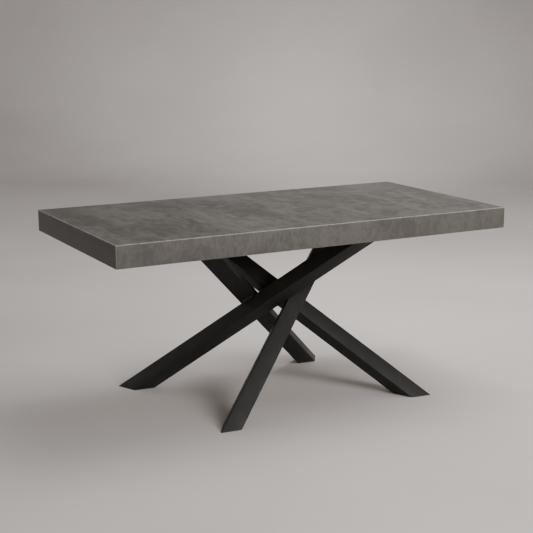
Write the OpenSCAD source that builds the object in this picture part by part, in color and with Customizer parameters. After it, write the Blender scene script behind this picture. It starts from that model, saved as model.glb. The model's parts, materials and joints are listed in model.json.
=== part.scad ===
// Extendable dining table: a boxed top with a cement-effect face on a steel base of two crossed
// X frames. Both end panels draw out on three-part ball slides, and a leaf rides out with each.
// Millimetres. The origin is on the floor under the middle of the closed top, +Z up, +X along
// the length, -Y towards the front.

/* [Top] */
// Length of the closed table, end panel to end panel
table_l = 1700; // [1400:10:2100]
// Width of the table, apron to apron
table_w = 850; // [700:10:1050]
// Height of the top face above the floor
table_h = 775; // [640:5:940]
// Depth of the boxed top, from its top face to the lower edges of the aprons
slab_t = 85; // [82:1:110]
// Thickness of every board of the boxed top, leaves included
board_t = 18; // [15:0.5:22]
// Gap left at the mitres of an end panel when it is pushed home
end_seam = 0.6; // [0.5:0.1:1.5]

/* [Extension] */
// How far each end panel draws out
draw_l = 450; // [300:10:540]
// Part of the draw that the leaf doesn't fill, so that it can be laid in by hand
leaf_slack = 2; // [1:0.5:6]
// Gap between a stored leaf and the underside of the top
leaf_drop = 2; // [1:0.5:4]
// Gap between a leaf and the aprons beside it
leaf_side_gap = 3; // [2:0.5:8]
// Gap between a stored leaf and the inside of its end panel
leaf_end_gap = 3; // [2:0.5:8]

/* [Slides] */
// Height of the fixed member of a ball slide
slide_h = 38; // [34:1:40]
// Overall thickness of a ball slide
slide_d = 12.7; // [11:0.1:15]
// Sheet thickness of the slide members
slide_wall = 1.5; // [1:0.1:2]
// Room for the balls between one member's flange and the next
ball_gap = 2.6; // [1.5:0.1:3]
// Clearance of a ball to each of the flanges that it runs between
ball_play = 0.3; // [0.3:0.02:0.4]
// Balls in each row of a cage
row_balls = 14; // [6:1:24]
// Thickness of the strip that holds a row of balls
strip_t = 0.8; // [0.6:0.1:0.8]
// Distance that the balls keep from the ends of the overlap of two drawn-out members
row_margin = 20; // [10:5:60]
// Gap between the webs of neighbouring members
web_gap = 0.6; // [0.4:0.1:1]
// How far the inner member stands out past the other two, so that the ties clear them
inner_step = 1.2; // [0.8:0.1:2]
// Distance from the middle of the table to the inner end of a fixed member
slide_mid_gap = 40; // [30:1:60]
// Gap between the slide ends and the inside of the end panel
slide_end_gap = 3; // [2:0.5:10]
// Thickness of the rubber buffer at the inner end of a fixed member
buffer_t = 5; // [3:0.5:8]
// Screws that hold a fixed member to its apron
slide_screw_count = 4; // [3:1:6]
// Distance of the outermost slide screws from the ends of a fixed member
slide_screw_end = 60; // [40:5:100]
// Radius of the flat head of a slide screw
slide_screw_head_r = 3.5; // [3:0.1:4]

/* [End frame] */
// Height of the cross ties of a moving end frame
tie_h = 25; // [20:1:25]
// Width of the cross ties
tie_w = 30; // [20:1:40]
// Wall of the cross ties
tie_wall = 2; // [1.5:0.5:3]
// Gap between the outer tie and the inside of the end panel
tie_end_gap = 15; // [10:1:30]
// Gap between the inner tie and the base board when closed
tie_board_gap = 14; // [8:1:40]
// Thickness of the felt pads that a leaf lies on
pad_t = 6; // [5:0.5:8]
// Length of a felt pad
pad_l = 120; // [60:5:160]
// Length of each side of an end bracket
bracket_l = 42; // [30:1:50]
// Height of an end bracket
bracket_h = 18; // [14:1:20]
// Sheet thickness of an end bracket
bracket_t = 3; // [2:0.5:4]
// How far the middle of an end bracket lies below the middle of the slide
bracket_drop = 2; // [1:0.5:3]

/* [Legs] */
// Side of the square leg tube
leg_w = 67; // [54:0.5:82]
// Wall of the leg tube
leg_wall = 3; // [2:0.5:5]
// Long leg: distance of its foot from the end of the table
long_foot_end = 364; // [300:2:420]
// Long leg: distance of its foot from the side of the table
long_foot_side = 107; // [90:1:150]
// Long leg: distance of its top from the end of the table
long_top_end = 592; // [560:2:640]
// Long leg: distance of its top from the side of the table, less the tube's width
long_top_side = 67; // [63:1:93]
// Short leg: distance of its foot from the end of the table
short_foot_end = 495; // [450:5:540]
// Short leg: distance of its foot from the side of the table
short_foot_side = 103; // [90:1:150]
// Short leg: distance of its top from the end of the table
short_top_end = 449; // [430:2:480]
// Short leg: distance of its top from the side of the table
short_top_side = 284; // [270:2:300]
// Gap where a long leg passes the short leg of the other X frame
pass_gap = 4; // [2:0.5:10]
// Size of the weld beads that join the two legs of an X frame
bead = 5; // [3:0.5:8]
// Thickness of the flange of a foot cap
cap_t = 4; // [3:0.5:6]
// Depth of a foot cap's plug inside the tube
plug_h = 20; // [10:1:30]
// Clearance of the plug inside the tube
plug_gap = 0.3; // [0.2:0.1:0.5]

/* [Underframe] */
// Distance from the lower edge of the aprons up to the leg plates
plate_lift = 4; // [2:1:8]
// Thickness of the leg plates
plate_t = 6; // [5:1:8]
// How far a leg plate stands out past the leg's cut end
plate_rim = 25; // [20:1:30]
// Distance of a plate bolt from the plate's edges
bolt_edge = 12; // [10:1:14]
// Radius of a plate bolt
bolt_r = 4; // [3:0.5:5]
// Radius of a plate bolt's head
bolt_head_r = 6.4; // [5.5:0.1:8]
// Clearance round a bolt in its plate
bolt_gap = 0.5; // [0.3:0.1:1]
// Outer radius of the threaded insert in the base board
insert_r = 6; // [5.5:0.5:8]
// How far an insert and its bolt stop short of the base board's upper face
insert_short = 2; // [1:0.5:4]
// Thickness of the base boards
base_t = 22; // [15:1:24]
// How far a base board reaches past the leg plates
base_rim = 8; // [5:1:15]
// Gap between a base board and the moving slide members
base_side_gap = 6; // [4:1:20]
// Width of the battens between the base boards and the top
batten_w = 45; // [35:1:50]
// Gap between a batten and the inner end of a stored leaf
batten_gap = 12; // [8:1:30]
// Distance of the battens' ends from the aprons
batten_side = 55; // [40:1:80]
// Glue blocks along each apron
block_count = 4; // [3:1:8]
// Side of the glue blocks between the top and the aprons
block = 16; // [12:1:18]
// Length of a glue block
block_l = 60; // [40:5:80]
// Radius of a wood screw
screw_r = 2.2; // [1.5:0.1:2.5]
// Depth that a wood screw reaches into a board
screw_bite = 12; // [8:1:13]

/* [Hidden] */
$fn = 48;

// Sides: -1 is left or front, 1 is right or back
LEFT = -1;
RIGHT = 1;
FRONT = -1;
BACK = 1;

cement = [0.42, 0.40, 0.38];
wood = [0.72, 0.60, 0.44];
black = [0.10, 0.10, 0.10];
zinc = [0.70, 0.71, 0.72];
felt = [0.35, 0.35, 0.33];
rubber = [0.15, 0.15, 0.15];

// Heights, from the aprons' lower edge up
under_z = table_h - slab_t;
top_under_z = table_h - board_t;
plate_z = under_z + plate_lift;
base_z = plate_z + plate_t;
batten_z = base_z + base_t;
leaf_z = top_under_z - leaf_drop - board_t;
slide_z = leaf_z - leaf_drop - slide_h;
tie_z = leaf_z - pad_t - tie_h;

// Inside faces of the end panels and the aprons
inner_x = table_l / 2 - board_t;
inner_y = table_w / 2 - board_t;

// Leaves, slides and the moving end frame
leaf_l = draw_l - leaf_slack;
leaf_out_x = inner_x - leaf_end_gap;
leaf_in_x = leaf_out_x - leaf_l;
slide_out_x = inner_x - slide_end_gap;
slide_in_x = slide_mid_gap + buffer_t + end_seam;
slide_face_y = inner_y - slide_d;
slide_mid_z = slide_z + slide_h / 2;
bracket_z = slide_mid_z - bracket_drop;
middle_h = slide_h - 2 * (slide_wall + ball_gap);
inner_h = middle_h - 2 * (slide_wall + ball_gap);
flange_end = slide_d - inner_step;
middle_web = slide_wall + web_gap;
inner_flange_start = middle_web + slide_wall + web_gap;
// A cage rolls half as far as its two members part, and stays between them all the way
row_in_x = slide_in_x + draw_l / 4 + row_margin;
row_out_x = slide_out_x - draw_l / 4 - row_margin;
outer_row_z = slide_h / 2 - slide_wall - ball_gap / 2;
inner_row_z = middle_h / 2 - slide_wall - ball_gap / 2;

// Legs. Both are laid out from the table's edges. Then the long leg shifts sideways and the
// short leg shifts along its run, until the long leg's face meets the short leg of its own
// X frame and clears the short leg of the other.
function unit(v) = v / norm(v);
function turned(v) = [-v.x, -v.y, v.z];
function sideways(v) = unit([-v.y, v.x, 0]);
function run_of(v) = unit([v.x, v.y, 0]);
function reach(m, u, f) = abs(m * u) + abs(m * f);

long_foot = [-(table_l / 2 - long_foot_end), table_w / 2 - long_foot_side, 0];
long_top = [table_l / 2 - long_top_end, -(table_w / 2 - leg_w - long_top_side), plate_z];
short_foot = [-(table_l / 2 - short_foot_end), -(table_w / 2 - short_foot_side), 0];
short_top = [table_l / 2 - short_top_end, table_w / 2 - short_top_side, plate_z];

long_v = unit(long_top - long_foot);
short_v = unit(short_top - short_foot);
long_way = sideways(long_v);
short_way = run_of(short_v);

// The faces that meet are square to both legs of an X frame
long_f = unit(cross(turned(short_v), long_v));
short_f = turned(long_f);
long_u = cross(long_f, long_v);
short_u = cross(short_f, short_v);
pass_m = unit(cross(short_v, long_v));
pass_reach = leg_w / 2 * (reach(pass_m, long_u, long_f) + reach(pass_m, short_u, short_f));

// Two conditions, meeting and passing, are solved for the two shifts. The long leg passes the
// short leg of the other X frame, and where the table is narrow also the other long leg.
meet_long = -long_way * long_f;
meet_short = -short_way * long_f;
meet_left = leg_w - (turned(short_foot) - long_foot) * long_f;
pass_long = -long_way * pass_m;
pass_short = short_way * pass_m;
shift_den = meet_long * pass_short - meet_short * pass_long;
pass_near = pass_reach + pass_gap - (short_foot - long_foot) * pass_m;
cross_half = (leg_w * reach(long_way, long_u, long_f) + pass_gap) / 2;
cross_shift = -long_foot * long_way - cross_half;
pass_cross = (meet_left * pass_short - cross_shift * shift_den) / meet_short;
pass_left = max(pass_near, pass_cross);
long_shift = (meet_left * pass_short - meet_short * pass_left) / shift_den;
short_shift = (meet_long * pass_left - meet_left * pass_long) / shift_den;

// A leg is [foot point, direction, face normal, side normal]
long_leg = [long_foot + long_shift * long_way, long_v, long_f, long_u];
short_leg = [short_foot + short_shift * short_way, short_v, short_f, short_u];

function at_height(leg, z) = leg[0] + leg[1] * (z / leg[1].z);
// A corner of the tube, carried along the leg to a level cut
function cut_corner(leg, i, j) =
    let(c = (i * leg[3] + j * leg[2]) * leg_w / 2) c - leg[1] * (c.z / leg[1].z);
// Half the size of the tube's level cut along X and Y
function cut_half(leg) = [
    max([for (i = [-1, 1], j = [-1, 1]) cut_corner(leg, i, j).x]),
    max([for (i = [-1, 1], j = [-1, 1]) cut_corner(leg, i, j).y])
];
long_plate = cut_half(long_leg) + [plate_rim, plate_rim];
short_plate = cut_half(short_leg) + [plate_rim, plate_rim];
long_top_at = at_height(long_leg, plate_z);
short_top_at = at_height(short_leg, plate_z);

// Base board, battens and ties
base_in_x = min(long_top_at.x - long_plate.x, short_top_at.x - short_plate.x) - base_rim;
base_out_x = max(long_top_at.x + long_plate.x, short_top_at.x + short_plate.x) + base_rim;
base_y = slide_face_y - base_side_gap;
long_bolt_y = long_plate.y - bolt_edge;
short_bolt_y = short_plate.y - bolt_edge;
riser_x = min(leaf_in_x - board_t, base_out_x) - batten_gap - batten_w / 2;
batten_y = inner_y - batten_side;
// The riser's screws lie halfway between the lines of plate bolts, so that they never meet
riser_screws_y = [
    long_top_at.y, (long_top_at.y + long_bolt_y + short_top_at.y - short_bolt_y) / 2,
    short_top_at.y, (short_top_at.y + short_bolt_y + batten_y) / 2
];
outer_tie_x = inner_x - tie_end_gap - tie_w;
inner_tie_x = base_out_x + tie_board_gap;

// Each leg is cut from a bar that is longer than any leg
bar_l = 2 * (table_l + table_h);

// How far a cut reaches past the faces that it goes through
past = 1;
// Radius of a screw's countersunk and pan heads, as multiples of the screw's own
sunk_head = 2;
pan_head = 1.8;
// Places of the two screws along a bracket's side, as shares of its length
bracket_screws_at = [0.45, 0.8];
// Place of a pad, as a share of the way from the middle of a tie to its end
pad_at = 2 / 3;
// Even steps from -1 to 1
function steps(n) = [for (i = [0:n - 1]) 2 * i / (n - 1) - 1];

// ---- Shared shapes ----

// The +X end's shape, or its mirror image for the left end
module at_end(end) { if (end == LEFT) mirror([1, 0, 0]) children(); else children(); }

// The +Y side's shape, or its mirror image for the front
module at_side(side) { if (side == FRONT) mirror([0, 1, 0]) children(); else children(); }

// A board's section in Y and Z, drawn out along X
module along_x(l) {
    translate([-l / 2, 0, 0]) rotate([90, 0, 90]) linear_extrude(l) children();
}

// A board's section in X and Z, drawn out along Y
module along_y(l) {
    translate([0, l / 2, 0]) rotate([90, 0, 0]) linear_extrude(l) children();
}

// Section of the top board, with its two long or short edges mitred
module top_section(half) {
    polygon([
        [-half, table_h], [half, table_h],
        [half - board_t, top_under_z], [-half + board_t, top_under_z]
    ]);
}

// Section of an apron or end panel with its upper edge mitred
module side_section(outer) {
    polygon([
        [outer - board_t, under_z], [outer, under_z],
        [outer, table_h], [outer - board_t, top_under_z]
    ]);
}

// Round hole or pin along X or Y
module pin_x(r, l) { rotate([0, 90, 0]) cylinder(r = r, h = l, center = true); }
module pin_y(r, l) { rotate([90, 0, 0]) cylinder(r = r, h = l, center = true); }

// ---- Boxed top ----

// The top board reaches the end panels' mitres, less the seam
module main_top() {
    color(cement) intersection() {
        along_x(table_l) top_section(table_w / 2);
        along_y(table_w) top_section(table_l / 2 - end_seam);
    }
}

module apron(side) {
    half = table_l / 2 - end_seam;
    color(cement) at_side(side) intersection() {
        along_x(table_l) side_section(table_w / 2);
        translate([0, 0, under_z]) linear_extrude(slab_t) polygon([
            [-half, table_w / 2], [half, table_w / 2],
            [half - board_t, inner_y], [-half + board_t, inner_y]
        ]);
    }
}

module end_panel(end) {
    half = table_w / 2;
    color(cement) at_end(end) intersection() {
        along_y(table_w) side_section(table_l / 2);
        translate([0, 0, under_z]) linear_extrude(slab_t) polygon([
            [table_l / 2, -half], [table_l / 2, half],
            [inner_x, inner_y], [inner_x, -inner_y]
        ]);
    }
}

// A leaf has slanted ends, to lie between the mitres of the top and of a drawn-out end panel
module leaf(end) {
    color(cement) at_end(end) along_y(2 * (inner_y - leaf_side_gap)) polygon([
        [leaf_in_x, leaf_z + board_t], [leaf_out_x, leaf_z + board_t],
        [leaf_out_x - board_t, leaf_z], [leaf_in_x - board_t, leaf_z]
    ]);
}

module glue_blocks() {
    color(wood) for (side = [FRONT, BACK], k = steps(block_count))
        at_side(side) translate([k * (riser_x - block_l / 2), 0, 0]) along_x(block_l) polygon([
            [inner_y, top_under_z], [inner_y - block, top_under_z], [inner_y, top_under_z - block]
        ]);
}

// ---- Underframe ----

// The long leg of one X frame and the short leg of the other stand under the +X base board
module each_plate() {
    translate([long_top_at.x, long_top_at.y, 0]) { $half = long_plate; children(); }
    translate([short_top_at.x, short_top_at.y, 0]) { $half = short_plate; children(); }
}

module each_bolt() {
    each_plate() for (i = [-1, 1], j = [-1, 1])
        translate([i * ($half.x - bolt_edge), j * ($half.y - bolt_edge), 0]) children();
}

// The base is the same after half a turn, and the right-hand end is drawn
module both_turns() {
    children();
    rotate([0, 0, 180]) children();
}

module at_turn(end) { if (end == LEFT) rotate([0, 0, 180]) children(); else children(); }

module base_board(end) {
    color(wood) at_turn(end) difference() {
        translate([base_in_x, -base_y, base_z]) cube([base_out_x - base_in_x, 2 * base_y, base_t]);
        each_bolt() translate([0, 0, base_z - past]) cylinder(r = insert_r, h = base_t + 2 * past);
    }
}

module riser(end) {
    color(wood) at_end(end) translate([riser_x - batten_w / 2, -batten_y, batten_z])
        cube([batten_w, 2 * batten_y, top_under_z - batten_z]);
}

module spine(side) {
    l = 2 * riser_x - batten_w;
    color(wood) at_side(side) translate([-l / 2, batten_y - batten_w, batten_z])
        cube([l, batten_w, top_under_z - batten_z]);
}

// A countersunk wood screw that points up, with its head in the face at z = 0
module screw_up(l) {
    cylinder(r1 = sunk_head * screw_r, r2 = screw_r, h = screw_r);
    cylinder(r = screw_r, h = l);
}

// Screws from below, through the base boards into the risers
module board_screws() {
    color(zinc) both_turns() for (y = riser_screws_y)
        translate([riser_x, y, base_z]) screw_up(base_t + screw_bite);
}

// Screws from below, through the spines into the top
module top_screws() {
    color(zinc) for (side = [FRONT, BACK], k = steps(3))
        translate([k * (base_in_x - batten_w / 2), side * (batten_y - batten_w / 2), batten_z])
            screw_up(top_under_z - batten_z + screw_bite);
}

// ---- Legs ----

// A bar along a leg, as wide as w and cut level at two heights
module leg_bar(leg, w, z0, z1) {
    p = leg[0];
    v = leg[1];
    f = leg[2];
    u = leg[3];
    intersection() {
        multmatrix([
            [u.x, f.x, v.x, p.x], [u.y, f.y, v.y, p.y], [u.z, f.z, v.z, p.z], [0, 0, 0, 1]
        ]) translate([-w / 2, -w / 2, -bar_l / 2]) cube([w, w, bar_l]);
        translate([-bar_l / 2, -bar_l / 2, z0]) cube([bar_l, bar_l, z1 - z0]);
    }
}

module leg_tube(leg) {
    color(black) difference() {
        leg_bar(leg, leg_w, cap_t, plate_z);
        leg_bar(leg, leg_w - 2 * leg_wall, cap_t - past, plate_z + past);
    }
}

module foot_cap(leg) {
    color(rubber) {
        leg_bar(leg, leg_w, 0, cap_t);
        leg_bar(leg, leg_w - 2 * (leg_wall + plug_gap), cap_t, cap_t + plug_h);
    }
}

module leg_plate(top, half) {
    color(black) difference() {
        translate([top.x - half.x, top.y - half.y, plate_z])
            cube([2 * half.x, 2 * half.y, plate_t]);
        for (i = [-1, 1], j = [-1, 1])
            translate([top.x + i * (half.x - bolt_edge), top.y + j * (half.y - bolt_edge), plate_z])
                translate([0, 0, -past]) cylinder(r = bolt_r + bolt_gap, h = plate_t + 2 * past);
    }
}

// A bead in the corner between one leg's face and the side of the leg that crosses it
module weld_bead(at, on, over, normal, s) {
    run = over[1] * on[3];
    mid = at + over[3] * (s * leg_w / 2) - over[1] * (s * leg_w / 2 * (over[3] * on[3]) / run);
    l = leg_w / abs(run) - 2 * bead;
    x = over[3] * s;
    y = normal;
    z = cross(x, y);
    multmatrix([
        [x.x, y.x, z.x, mid.x], [x.y, y.y, z.y, mid.y], [x.z, y.z, z.z, mid.z], [0, 0, 0, 1]
    ]) translate([0, 0, -l / 2]) linear_extrude(l) polygon([[0, 0], [bead, 0], [0, bead]]);
}

// Four beads at the crossing of each X frame, round the patch where the faces meet
module leg_welds() {
    other = [turned(short_leg[0]), turned(short_leg[1]), long_f, turned(short_leg[3])];
    gap = other[0] - long_leg[0];
    across = unit(cross(other[1], long_leg[2]));
    at = long_leg[0] + long_leg[1] * ((gap * across) / (long_leg[1] * across))
        + long_f * leg_w / 2;
    color(black) both_turns() for (s = [-1, 1]) {
        weld_bead(at, long_leg, other, long_f, s);
        weld_bead(at, other, long_leg, -long_f, s);
    }
}

module leg_bolts() {
    color(zinc) both_turns() each_bolt() {
        translate([0, 0, plate_z - bolt_r]) cylinder(r = bolt_head_r, h = bolt_r);
        translate([0, 0, plate_z]) cylinder(r = bolt_r, h = plate_t + base_t - insert_short);
    }
}

module board_inserts() {
    color(zinc) both_turns() each_bolt() translate([0, 0, base_z]) difference() {
        cylinder(r = insert_r, h = base_t - insert_short);
        translate([0, 0, -past]) cylinder(r = bolt_r, h = base_t + 2 * past);
    }
}

// ---- Slides and end frames ----

// A channel section in depth from the apron and height, open towards the table's middle
module channel(web, h, depth) {
    translate([0, -h / 2]) difference() {
        translate([web, 0]) square([depth - web, h]);
        translate([web + slide_wall, slide_wall]) square([depth, h - 2 * slide_wall]);
    }
}

// Places a section at a slide of the +X end, from x0 to x1
module slide_run(end, side, x0, x1) {
    at_end(end) at_side(side) translate([x0, inner_y, slide_mid_z])
        rotate([90, 0, 90]) linear_extrude(x1 - x0) mirror([1, 0]) children();
}

module each_slide_screw(end, side) {
    mid = (slide_mid_gap + slide_out_x) / 2;
    half = (slide_out_x - slide_mid_gap) / 2 - slide_screw_end;
    at_end(end) at_side(side) for (k = steps(slide_screw_count))
        translate([mid + k * half, inner_y, slide_mid_z]) children();
}

module slide_outer(end, side) {
    color(zinc) difference() {
        slide_run(end, side, slide_mid_gap, slide_out_x) channel(0, slide_h, flange_end);
        each_slide_screw(end, side) pin_y(slide_screw_head_r, 2 * (slide_wall + past));
    }
}

module slide_middle(end, side) {
    color(zinc) slide_run(end, side, slide_in_x, slide_out_x)
        channel(middle_web, middle_h, flange_end);
}

// The inner member is turned to face the others, so its web carries the end frame
module slide_inner(end, side) {
    color(zinc) difference() {
        slide_run(end, side, slide_in_x, inner_x) translate([slide_d, 0]) mirror([1, 0])
            channel(0, inner_h, slide_d - inner_flange_start);
        each_bracket_bolt(end, side) pin_y(screw_r, 2 * (bracket_t + slide_wall + past));
    }
}

// Strips with a row of balls above and below a member, at a height from the slide's middle
module ball_cages(end, row_z) {
    strip_w = flange_end - inner_flange_start - 2 * ball_play;
    row_y = inner_y - inner_flange_start - ball_play - strip_w / 2;
    pitch = (row_out_x - row_in_x) / row_balls;
    color(zinc) for (side = [FRONT, BACK], k = [-1, 1]) {
        slide_run(end, side, row_in_x, row_out_x)
            translate([inner_y - row_y, k * row_z]) square([strip_w, strip_t], center = true);
        at_end(end) at_side(side) for (i = [0:row_balls - 1])
            translate([row_in_x + (i + 0.5) * pitch, row_y, slide_mid_z + k * row_z])
                sphere(r = ball_gap / 2 - ball_play);
    }
}

module slide_screws() {
    color(zinc) for (end = [LEFT, RIGHT], side = [FRONT, BACK]) each_slide_screw(end, side) {
        translate([0, -slide_wall / 2, 0]) pin_y(slide_screw_head_r, slide_wall);
        translate([0, screw_bite / 2, 0]) pin_y(screw_r, screw_bite);
    }
}

module slide_buffers(end) {
    color(rubber) for (side = [FRONT, BACK])
        slide_run(end, side, slide_mid_gap, slide_mid_gap + buffer_t)
            translate([slide_wall, -slide_h / 2 + slide_wall])
                square([flange_end - slide_wall, slide_h - 2 * slide_wall]);
}

module tie(end, x) {
    color(black) at_end(end) translate([x, -slide_face_y, tie_z]) difference() {
        cube([tie_w, 2 * slide_face_y, tie_h]);
        translate([tie_wall, -past, tie_wall])
            cube([tie_w - 2 * tie_wall, 2 * (slide_face_y + past), tie_h - 2 * tie_wall]);
    }
}

module leaf_pads(end) {
    color(felt) at_end(end) for (x = [outer_tie_x, inner_tie_x], k = [-1, 1])
        translate([x, k * pad_at * slide_face_y - pad_l / 2, tie_z + tie_h])
            cube([tie_w, pad_l, pad_t]);
}

// Bolts of an end bracket, one through the slide and one into the end panel
module each_bracket_bolt(end, side) {
    at_end(end) at_side(side)
        translate([inner_x - tie_end_gap / 2, slide_face_y - bracket_t, bracket_z]) children();
}
module each_bracket_screw(end, side) {
    at_end(end) at_side(side) for (k = bracket_screws_at)
        translate([inner_x - bracket_t, slide_face_y - k * bracket_l, bracket_z]) children();
}

// An angle whose one side lies on the slide and the other on the end panel
module end_brackets(end) {
    color(black) for (side = [FRONT, BACK]) difference() {
        at_end(end) at_side(side)
            translate([inner_x, slide_face_y, bracket_z - bracket_h / 2]) {
                translate([-tie_end_gap, -bracket_t, 0])
                    cube([tie_end_gap, bracket_t, bracket_h]);
                translate([-bracket_t, -bracket_l, 0]) cube([bracket_t, bracket_l, bracket_h]);
            }
        each_bracket_bolt(end, side) pin_y(screw_r, 2 * (bracket_t + past));
        each_bracket_screw(end, side) pin_x(screw_r, 2 * (bracket_t + past));
    }
}

module bracket_screws(end) {
    color(zinc) for (side = [FRONT, BACK]) {
        each_bracket_bolt(end, side) {
            translate([0, -screw_r / 2, 0]) pin_y(pan_head * screw_r, screw_r);
            translate([0, bracket_t, 0]) pin_y(screw_r, 2 * bracket_t);
        }
        each_bracket_screw(end, side) {
            translate([-screw_r / 2, 0, 0]) pin_x(pan_head * screw_r, screw_r);
            translate([(bracket_t + screw_bite) / 2, 0, 0]) pin_x(screw_r, bracket_t + screw_bite);
        }
    }
}

// ---- Nodes ----

main_top();
apron(FRONT);  // front_apron
apron(BACK);  // back_apron
glue_blocks();
end_panel(LEFT);  // left_end_panel
end_panel(RIGHT);  // right_end_panel
leaf(LEFT);  // left_leaf
leaf(RIGHT);  // right_leaf
base_board(LEFT);  // left_base_board
base_board(RIGHT);  // right_base_board
riser(LEFT);  // left_riser
riser(RIGHT);  // right_riser
spine(FRONT);  // front_spine
spine(BACK);  // back_spine
board_screws();
top_screws();
leg_tube(long_leg);  // back_left_leg
leg_tube(short_leg);  // front_left_leg
rotate([0, 0, 180]) leg_tube(long_leg);  // front_right_leg
rotate([0, 0, 180]) leg_tube(short_leg);  // back_right_leg
foot_cap(long_leg);  // back_left_foot_cap
foot_cap(short_leg);  // front_left_foot_cap
rotate([0, 0, 180]) foot_cap(long_leg);  // front_right_foot_cap
rotate([0, 0, 180]) foot_cap(short_leg);  // back_right_foot_cap
leg_plate(long_top_at, long_plate);  // back_left_leg_plate
leg_plate(short_top_at, short_plate);  // front_left_leg_plate
rotate([0, 0, 180]) leg_plate(long_top_at, long_plate);  // front_right_leg_plate
rotate([0, 0, 180]) leg_plate(short_top_at, short_plate);  // back_right_leg_plate
leg_welds();
leg_bolts();
board_inserts();
slide_outer(LEFT, FRONT);  // left_front_slide_outer
slide_outer(LEFT, BACK);  // left_back_slide_outer
slide_outer(RIGHT, FRONT);  // right_front_slide_outer
slide_outer(RIGHT, BACK);  // right_back_slide_outer
slide_middle(LEFT, FRONT);  // left_front_slide_middle
slide_middle(LEFT, BACK);  // left_back_slide_middle
slide_middle(RIGHT, FRONT);  // right_front_slide_middle
slide_middle(RIGHT, BACK);  // right_back_slide_middle
slide_inner(LEFT, FRONT);  // left_front_slide_inner
slide_inner(LEFT, BACK);  // left_back_slide_inner
slide_inner(RIGHT, FRONT);  // right_front_slide_inner
slide_inner(RIGHT, BACK);  // right_back_slide_inner
ball_cages(LEFT, outer_row_z);  // left_outer_ball_cages
ball_cages(RIGHT, outer_row_z);  // right_outer_ball_cages
ball_cages(LEFT, inner_row_z);  // left_inner_ball_cages
ball_cages(RIGHT, inner_row_z);  // right_inner_ball_cages
slide_screws();
slide_buffers(LEFT);  // left_slide_buffers
slide_buffers(RIGHT);  // right_slide_buffers
tie(LEFT, outer_tie_x);  // left_outer_tie
tie(RIGHT, outer_tie_x);  // right_outer_tie
tie(LEFT, inner_tie_x);  // left_inner_tie
tie(RIGHT, inner_tie_x);  // right_inner_tie
leaf_pads(LEFT);  // left_leaf_pads
leaf_pads(RIGHT);  // right_leaf_pads
end_brackets(LEFT);  // left_end_brackets
end_brackets(RIGHT);  // right_end_brackets
bracket_screws(LEFT);  // left_bracket_screws
bracket_screws(RIGHT);  // right_bracket_screws
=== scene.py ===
"""Looks of an extendable dining table: a cement-effect boxed top on two crossed X frames.

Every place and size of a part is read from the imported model, and the classes below hold only
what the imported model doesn't: edge radii, wall sizes, fastener details and finishes.
"""

import json
import logging
import math
from dataclasses import dataclass
from enum import Enum
from typing import Any, Callable, Sequence

import bmesh
import bpy
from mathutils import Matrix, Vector
from mathutils.geometry import convex_hull_2d


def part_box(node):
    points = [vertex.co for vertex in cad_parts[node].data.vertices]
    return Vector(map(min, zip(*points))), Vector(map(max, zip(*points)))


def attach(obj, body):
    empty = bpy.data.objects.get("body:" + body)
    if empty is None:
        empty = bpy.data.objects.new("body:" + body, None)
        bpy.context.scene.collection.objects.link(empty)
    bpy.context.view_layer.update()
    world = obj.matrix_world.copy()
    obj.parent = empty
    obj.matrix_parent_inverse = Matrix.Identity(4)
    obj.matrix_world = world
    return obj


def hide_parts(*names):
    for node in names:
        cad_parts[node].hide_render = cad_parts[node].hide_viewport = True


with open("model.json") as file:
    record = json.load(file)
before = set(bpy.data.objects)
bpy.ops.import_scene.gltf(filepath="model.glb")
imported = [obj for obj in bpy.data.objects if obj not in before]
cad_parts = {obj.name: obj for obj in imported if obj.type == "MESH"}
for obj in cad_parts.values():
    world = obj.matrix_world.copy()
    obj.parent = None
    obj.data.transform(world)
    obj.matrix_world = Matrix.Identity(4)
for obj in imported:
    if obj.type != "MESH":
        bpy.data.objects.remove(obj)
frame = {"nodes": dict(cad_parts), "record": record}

logging.basicConfig(level=logging.INFO, format="%(name)s: %(message)s")
log = logging.getLogger("dining_table")

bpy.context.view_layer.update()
NODE_BODY: dict[str, str] = {
    node: body for body, nodes in frame["record"]["behaviour"]["bodies"].items() for node in nodes
}
NODE_SLOT: dict[str, str] = {
    part["node"]: part["material_slot"] for part in frame["record"]["subparts"]
}

Triple = tuple[float, float, float]
Colour = tuple[float, float, float, float]
Node = bpy.types.Node
Socket = bpy.types.NodeSocket
Sockets = dict[str, Any]
Mesh = bmesh.types.BMesh
FLOAT = "NodeSocketFloat"
SAME = 1e-5                # metres within which points are one
CRISP = (0.36, 0.64)       # middle of a noise, which is stretched to full contrast
SOFT = (0.3, 0.7)          # nearly all of a noise


class End(Enum):
    """The two ends of the table."""

    LEFT = -1
    RIGHT = 1


class Streak(Enum):
    """Which way the trowel marks of a cement facing run, as the stretch of its pattern."""

    ACROSS = (1.0, 0.16, 1.0)
    UPRIGHT = (1.0, 1.0, 0.35)


class Drive(Enum):
    """The recess in a screw's head."""

    HEX = "hex"
    CROSS = "cross"


# ---- Shader building ----


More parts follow.
